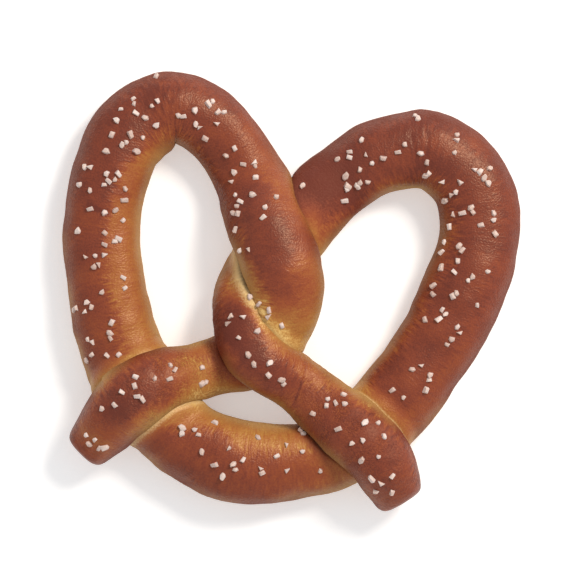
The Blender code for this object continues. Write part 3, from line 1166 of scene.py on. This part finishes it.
# %% From browning to colour
CRUST_COLOURS = (
    (0.00, "#EBC27A"),
    (0.10, "#D2A35C"),
    (0.22, "#B87E3E"),
    (0.42, "#A96332"),
    (0.62, "#984B2B"),
    (0.82, "#853D2A"),
    (1.00, "#6D3026"),
)
GROOVE_PAINTED_SHADE = 0.25  # how much darker the floor of a groove is painted, as shade
CREAM = "#F0D097"  # stretched dough at the line where strands meet, which the lye never reached
RAGGED = (-0.25, 0.15)  # how far pores move the cream's edge in and out
CREAM_EDGE = (0.2, 0.9)  # the cream sets in at the first of these, and is full at the second
CREAM_SHARE = 0.75  # how far the cream covers the crust's own colour
PALE_LIMB = "#B48E54"  # the low limbs, painted duller and darker as shade at the rope's edges: olive where they are pale
BROWN_LIMB = "#681E02"  # and tawny where they are brown
LIMB_BAKED = (0.35, 0.75)  # the browning at which a limb starts to turn tawny, and is all tawny
LIMB_SHARE = 0.75  # how far the limb's painted shade covers the crust's own colour
LINE_COLOUR = "#4A2A17"  # the shadowed line under an overhanging strand
DARK_SHARE = 0.8  # and how far the line's does


def crust_colour(material, stored, patterns):
    """The colour of the crust, from its stored numbers and its patterns."""
    lines, veins, pores, clouds, grain = patterns
    level = stored["browning_and_painted_shade"]
    for pattern, share in ((lines, stored["streaked"]), (veins, stored["leathery"])):
        shift = {0: pattern, 1: share, 2: level}
        level = add(material, "Math", shift, operation="MULTIPLY_ADD").outputs[0]
    for pattern in (clouds, grain):
        level = add(material, "Math", {0: pattern, 1: level}, operation="ADD").outputs[0]
    # Painted shade: the floor of a groove is made darker.
    deeper = {0: stored["groove"], 1: GROOVE_PAINTED_SHADE, 2: level}
    level = add(material, "Math", deeper, operation="MULTIPLY_ADD").outputs[0]
    ramp = add(material, "ValToRGB", {0: level})
    stops = ramp.color_ramp.elements
    while len(stops) < len(CRUST_COLOURS):
        stops.new(1.0)
    for stop, (place, colour) in zip(stops, CRUST_COLOURS):
        stop.position = place
        stop.color = linear(colour)

    # The painted shade of the limbs, the ragged cream and the painted shadow of the dark lines are laid
    # over it in turn.
    ragged = add(material, "MapRange", {0: pores, 1: NOISE_LOW, 2: NOISE_HIGH, 3: RAGGED[0], 4: RAGGED[1]})
    ragged = add(material, "Math", {0: stored["cream"], 1: ragged.outputs[0]}, operation="ADD")
    edge = {0: ragged.outputs[0], 1: CREAM_EDGE[0], 2: CREAM_EDGE[1], 3: 0.0, 4: CREAM_SHARE}
    ragged = add(material, "MapRange", edge)
    dark = add(material, "Math", {0: stored["dark"], 1: DARK_SHARE}, operation="MULTIPLY")
    low = add(material, "Math", {0: stored["limb"], 1: LIMB_SHARE}, operation="MULTIPLY")
    baked = add(material, "MapRange", {0: stored["browning_and_painted_shade"], 1: LIMB_BAKED[0], 2: LIMB_BAKED[1]})
    tones = {0: baked.outputs[0], 6: linear(PALE_LIMB), 7: linear(BROWN_LIMB)}
    limb_shade_tone = add(material, "Mix", tones, data_type="RGBA")
    colour = ramp.outputs[0]
    for share, tone in ((low, limb_shade_tone.outputs[2]), (ragged, linear(CREAM)), (dark, linear(LINE_COLOUR))):
        laid_over = {0: share.outputs[0], 6: colour, 7: tone}
        colour = add(material, "Mix", laid_over, data_type="RGBA").outputs[2]
    return colour


print("From straw to chestnut in", len(CRUST_COLOURS), "colours")

# %% Baked crust
RIDGED = (0.2, 1.5)  # how high streaks and ridges stand where the skin is plain, and where it is streaked
VEINED = 4.0  # how much higher veins stand where the skin is leathery
CRUST_RELIEF = 0.16  # how high the fine relief stands
RELIEF_SHARE = 0.9
SATIN = (0.32, 0.46)  # roughness between the pores, and in them
MATT_ROUGHER = 0.35  # how much rougher matt skin is
LEATHER_ROUGHER = 0.16  # and leathery skin
CRUST_IOR = 1.45  # the thin glaze of starch that lye leaves
CRUST_GLOSS = 0.62  # a little glossier than plain dough, which is 0.5
GLOSS_TINT = "#FFDDBB"  # the glaze is brownish, so it shines warm


def baked_crust():
    """Lye-dipped wheat crust, smooth and satin, from straw to chestnut."""
    material, output = new_material("baked_crust")
    rope = add(material, "UVMap", uv_map="rope")
    places = add(material, "TexCoord")
    stored = {}
    for name in ("browning_and_painted_shade", "streaked", "leathery", "groove", "cream", "dark", "limb", "matt"):
        stored[name] = add(material, "Attribute", attribute_name=name).outputs["Fac"]
    patterns = crust_patterns(material, rope.outputs[0], places.outputs["Object"])
    lines, veins, pores, _, _ = patterns

    # The ridges, veins and pores are a fine relief too, and break the sheen into grains.
    ridged = add(material, "MapRange", {0: stored["streaked"], 1: 0.0, 2: 1.0, 3: RIDGED[0], 4: RIDGED[1]})
    veined = add(material, "Math", {0: stored["leathery"], 1: VEINED}, operation="MULTIPLY")
    height = pores
    for pattern, share in ((lines, ridged), (veins, veined)):
        raised_by = {0: pattern, 1: share.outputs[0], 2: height}
        height = add(material, "Math", raised_by, operation="MULTIPLY_ADD").outputs[0]
    relief_size = {"Height": height, "Distance": CRUST_RELIEF * MM, "Strength": RELIEF_SHARE}
    bump = add(material, "Bump", relief_size)
    satin = {0: pores, 1: NOISE_LOW, 2: NOISE_HIGH, 3: SATIN[0], 4: SATIN[1]}
    roughness = add(material, "MapRange", satin).outputs[0]
    for name, rougher in (("matt", MATT_ROUGHER), ("leathery", LEATHER_ROUGHER)):
        duller = {0: stored[name], 1: rougher, 2: roughness}
        roughness = add(material, "Math", duller, operation="MULTIPLY_ADD").outputs[0]
    shader = add(
        material,
        "BsdfPrincipled",
        {
            "Base Color": crust_colour(material, stored, patterns),
            "Roughness": roughness,
            "IOR": CRUST_IOR,
            "Specular IOR Level": CRUST_GLOSS,
            "Specular Tint": linear(GLOSS_TINT),
            "Normal": bump.outputs[0],
        },
    )
    material.node_tree.links.new(shader.outputs[0], output.inputs["Surface"])
    return material


crust.data.materials.append(baked_crust())
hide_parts("pretzel")
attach(crust, "root")
print("The crust's finish has", len(crust.data.materials[0].node_tree.nodes), "nodes")

# %% [markdown]
# ## The salt
#
# Pretzel salt is compacted and crushed, so its grains are chunky chips with flat faces and worn edges,
# two to three millimetres long. Particles could scatter them, but the grains have to be real meshes
# that leave Blender with the crust. So a few kinds of chip are modelled, each from a short rod with
# uneven sides, a tilted top and a corner cut off. Each grain is then a copy of one of them, turned and
# scaled at random, and all of them are joined into one piece.

# %% Kinds of chip
# length, width and height in millimetres, and how many sides
CHIPS = (
    (3.1, 2.1, 1.15, 4),
    (2.5, 1.9, 1.1, 5),
    (3.6, 1.8, 1.05, 4),
    (2.9, 2.5, 1.1, 3),
    (2.8, 2.0, 1.0, 5),
    (2.2, 1.9, 1.0, 5),
    (3.0, 1.9, 1.1, 6),
    (2.7, 2.1, 1.0, 4),
)
CHIP_EDGE = 0.13  # how far the edges are worn
CHIP_SHADING = 38.0  # degrees past which an edge between two faces stays sharp
SIDE_REACH = (0.82, 1.12)  # how far out each side stands, where 1 is an even rod's
SIDE_TURN = 0.3  # how far each side is turned, in radians
TOP_DRAWN_IN = (0.6, 0.85)  # how wide the top is, where 1 is as wide as the foot
TOP_TILT = 0.25  # how much the top rises or falls for each millimetre across
CUT_UPWARDS = 0.6  # how much of the cut corner's direction is upwards
CUT_PLACE = 0.55  # how far out the cut is, where 1 only just touches the chip


def salt_chip(length, width, height, sides, seed):
    """A short rod made uneven: top drawn in and tilted, one corner cut off, edges worn."""
    dice = np.random.default_rng(seed)
    deselect_all()
    bpy.ops.mesh.primitive_cylinder_add(vertices=sides, radius=0.5, depth=1)
    chip = bpy.context.object
    reaches = dice.uniform(*SIDE_REACH, sides)
    turns = dice.uniform(-SIDE_TURN, SIDE_TURN, sides)
    drawn_in = dice.uniform(*TOP_DRAWN_IN)
    tilt = dice.uniform(-TOP_TILT, TOP_TILT, 2)
    squared = math.pi / 4 if sides == 4 else 0  # turns a rod of four sides into a brick
    for vertex in chip.data.vertices:
        x, y, z = vertex.co
        corner = round(math.atan2(y, x) / (2 * math.pi) * sides) % sides
        turn = math.atan2(y, x) + turns[corner] + squared
        reach = 0.5 * reaches[corner] * (drawn_in if z > 0 else 1)
        x = length * reach * math.cos(turn)
        y = width * reach * math.sin(turn)
        z = height * z + (tilt[0] * x + tilt[1] * y if z > 0 else 0)
        vertex.co = Vector((x, y, z)) * MM
    bpy.ops.object.mode_set(mode="EDIT")
    away = Vector((dice.normal(), dice.normal(), CUT_UPWARDS)).normalized()
    reach = sum(abs(a) * size / 2 * MM for a, size in zip(away, (length, width, height)))
    cut_at = away * reach * CUT_PLACE
    bpy.ops.mesh.select_all(action="SELECT")
    bpy.ops.mesh.bisect(plane_co=cut_at, plane_no=away, use_fill=True, clear_outer=True)
    bpy.ops.mesh.select_all(action="SELECT")
    bpy.ops.mesh.bevel(offset=CHIP_EDGE * MM, segments=1, affect="EDGES")
    bpy.ops.mesh.select_all(action="SELECT")
    bpy.ops.mesh.remove_doubles(threshold=WELD)
    bpy.ops.mesh.normals_make_consistent(inside=False)
    bpy.ops.object.mode_set(mode="OBJECT")
    bpy.ops.object.shade_smooth_by_angle(angle=math.radians(CHIP_SHADING))
    return chip


chips = [salt_chip(*sizes, seed=100 + kind) for kind, sizes in enumerate(CHIPS)]
print("Chips have", [len(chip.data.polygons) for chip in chips], "faces")

# %% [markdown]
# ## Scattering the salt
#
# Salt is thrown from above, so it lies on the top of the rope and on the flank that faced the hand,
# and hardly at all lower down. Often two or three grains land together. The list gives each stretch
# of the rope its share. Each grain is dropped from outside onto the finished crust, sunk a little
# into it, and turned to lie flat on it.

# %% Shares of salt
# from station, to station, from and to across the rope (-1 right limb, 1 left limb), grains
SALTED = (
    (1.0, 2.2, -0.6, 0.5, 6),
    (2.4, 5.0, -0.7, 0.8, 13),
    (7.2, 9.2, -0.2, 0.8, 6),
    (9.2, 11.0, -0.6, 0.9, 16),
    (11.0, 13.0, -0.5, 0.8, 14),
    (13.0, 15.0, -0.9, 0.7, 22),
    (15.0, 17.0, -0.9, 0.6, 28),
    (17.0, 17.8, -0.9, 0.1, 9),
    (19.0, 20.0, -0.6, 0.8, 11),
    (20.0, 21.6, -0.4, 0.7, 11),
    (23.0, 25.0, -0.5, 0.8, 20),
    (25.0, 27.0, -0.4, 0.9, 24),
    (27.0, 29.0, -0.8, 0.8, 16),
    (29.0, 30.7, -0.8, 0.6, 16),
    (33.6, 35.6, -0.8, 0.4, 14),
    (36.8, 39.0, -0.6, 0.7, 14),
    (39.0, 40.0, -0.7, 0.0, 5),
)
COMPANY = 0.28  # the share of grains that lie against another one
NEIGHBOUR_GAP = 1.6  # from the middle of one grain to the middle of the one against it
APART = 2.6  # the least from one grain to the next otherwise
SUNK = 0.3  # the share of a grain's height that is in the crust


def salt_spots(dice):
    """Spots for the grains, each a distance along the rope and an angle round it from the top."""
    spots = []
    for first, last, right, left, count in SALTED:
        made = 0
        while made < count:
            along = station_travel(dice.uniform(first, last))
            half = float(np.interp(along, route_travel, route[:, 3]))
            round_it = half * math.asin(dice.uniform(right, left))
            crowd = [math.hypot(along - s[0], round_it - s[1]) for s in spots]
            if crowd and min(crowd) < APART:
                continue
            spots.append((along, round_it))
            made += 1
            if made < count and dice.random() < COMPANY:
                turn = dice.uniform(0, 2 * math.pi)
                along += NEIGHBOUR_GAP * math.cos(turn)
                spots.append((along, round_it + NEIGHBOUR_GAP * math.sin(turn)))
                made += 1
    return spots


salt_dice = np.random.default_rng(29)
spots = salt_spots(salt_dice)
print(len(spots), "grains of salt to drop")

# %% Drop the grains
DROP_HEIGHT = 6.0
HIT_SLACK = 3.5  # a grain that lands further than this from its spot has met another strand
GRAIN_SIZES = (0.8, 1.12)
GRAIN_LEAN = 9.0  # degrees by which a grain usually leans over

crust_tree = BVHTree.FromPolygons(
    [vertex.co for vertex in crust.data.vertices], [face.vertices[:] for face in crust.data.polygons]
)
centring = Vector((solid_middle.x - box_middle[0] * MM, solid_middle.y - box_middle[1] * MM, 0))


def surface_spot(along, round_it):
    """The spot on the ideal rope, in metres, and the direction outwards there."""
    index = int(np.searchsorted(ring_travel, along))
    turn = round_it / halves[index]
    out = math.sin(turn) * lefts[index] + math.cos(turn) * ups[index]
    spot = middles[index] + halves[index] * out
    spot = Vector(spot * (1, 1, PLUMPNESS)) * MM + centring
    return spot, Vector(out / (1, 1, PLUMPNESS)).normalized()


grains = []
for along, round_it in spots:
    spot, out = surface_spot(along, round_it)
    landed, normal, _, _ = crust_tree.ray_cast(spot + out * DROP_HEIGHT * MM, -out)
    if landed is None or (landed - spot).length > HIT_SLACK * MM:
        continue
    kind = salt_dice.integers(len(chips))
    grain = chips[kind].copy()
    grain.data = chips[kind].data.copy()
    bpy.context.collection.objects.link(grain)
    size = salt_dice.uniform(*GRAIN_SIZES)
    lean = Matrix.Rotation(math.radians(salt_dice.normal() * GRAIN_LEAN), 4, "X")
    spin = Matrix.Rotation(salt_dice.uniform(0, 2 * math.pi), 4, "Z")
    rise = Matrix.Translation((0, 0, (0.5 - SUNK) * CHIPS[kind][2] * size * MM))
    settle = normal.to_track_quat("Z", "Y").to_matrix().to_4x4()
    grain.data.transform(Matrix.Translation(landed) @ settle @ rise @ lean @ spin @ Matrix.Scale(size, 4))
    clearness = grain.data.attributes.new("clearness", "FLOAT", "POINT")
    clearness.data.foreach_set("value", [salt_dice.random()] * len(grain.data.vertices))
    grains.append(grain)

deselect_all()
for grain in grains:
    grain.select_set(True)
bpy.context.view_layer.objects.active = grains[0]
bpy.ops.object.join()
salt = bpy.context.object
salt.name = "salt"
salt.data.name = "salt"
for chip in chips:
    bpy.data.objects.remove(chip)
print("Salt:", len(grains), "grains,", len(salt.data.polygons), "faces")

# %% [markdown]
# ## The salt's finish
#
# Rock salt is cloudy rather than clear: full of tiny cracks that scatter light, with a little of the
# brown beneath showing through the thinner grains. The cloudiness is a short scattering below the
# surface, and each grain has its own share of the brown, from milk white to a warm tan.


# %% Rock salt
SALT_CRACK = 0.5  # from one tiny crack to the next
SALT_RELIEF = 0.08
SALT_RELIEF_SHARE = 0.7
SALT_WHITE = "#E6D3C9"
SALT_TAN = "#BC937E"
SALT_ROUGHNESS = 0.45
SALT_IOR = 1.54
SALT_DEPTH = 0.6  # how far light scatters into a grain
SALT_SCATTER = 0.25
SALT_REDDENING = (1.0, 0.8, 0.6)  # red light goes furthest, blue least


def rock_salt():
    """Compacted rock salt: cloudy white chips with worn, faintly glossy faces."""
    material, output = new_material("rock_salt")
    places = add(material, "TexCoord")
    clearness = add(material, "Attribute", attribute_name="clearness")
    spacing = {"Vector": places.outputs["Object"], "Scale": 1 / (SALT_CRACK * MM), "Detail": 3.0}
    cracks = add(material, "TexNoise", spacing).outputs[0]
    share = add(material, "Math", {0: cracks, 1: clearness.outputs["Fac"]}, operation="MULTIPLY")
    tones = {0: share.outputs[0], 6: linear(SALT_WHITE), 7: linear(SALT_TAN)}
    colour = add(material, "Mix", tones, data_type="RGBA")
    relief_size = {"Height": cracks, "Distance": SALT_RELIEF * MM, "Strength": SALT_RELIEF_SHARE}
    bump = add(material, "Bump", relief_size)
    shader = add(
        material,
        "BsdfPrincipled",
        {
            "Base Color": colour.outputs[2],
            "Roughness": SALT_ROUGHNESS,
            "IOR": SALT_IOR,
            "Subsurface Weight": SALT_SCATTER,
            "Subsurface Radius": SALT_REDDENING,
            "Subsurface Scale": SALT_DEPTH * MM,
            "Normal": bump.outputs[0],
        },
    )
    material.node_tree.links.new(shader.outputs[0], output.inputs["Surface"])
    return material


salt.data.materials.clear()
salt.data.materials.append(rock_salt())
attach(salt, "root")
print("The salt's finish has", len(salt.data.materials[0].node_tree.nodes), "nodes")

# %% Compare the sizes
visual_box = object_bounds()
for name, box in (("solid", cad_box), ("dressed", visual_box)):
    print(name, [round((high - low) / MM, 1) for low, high in zip(*box)], "mm")
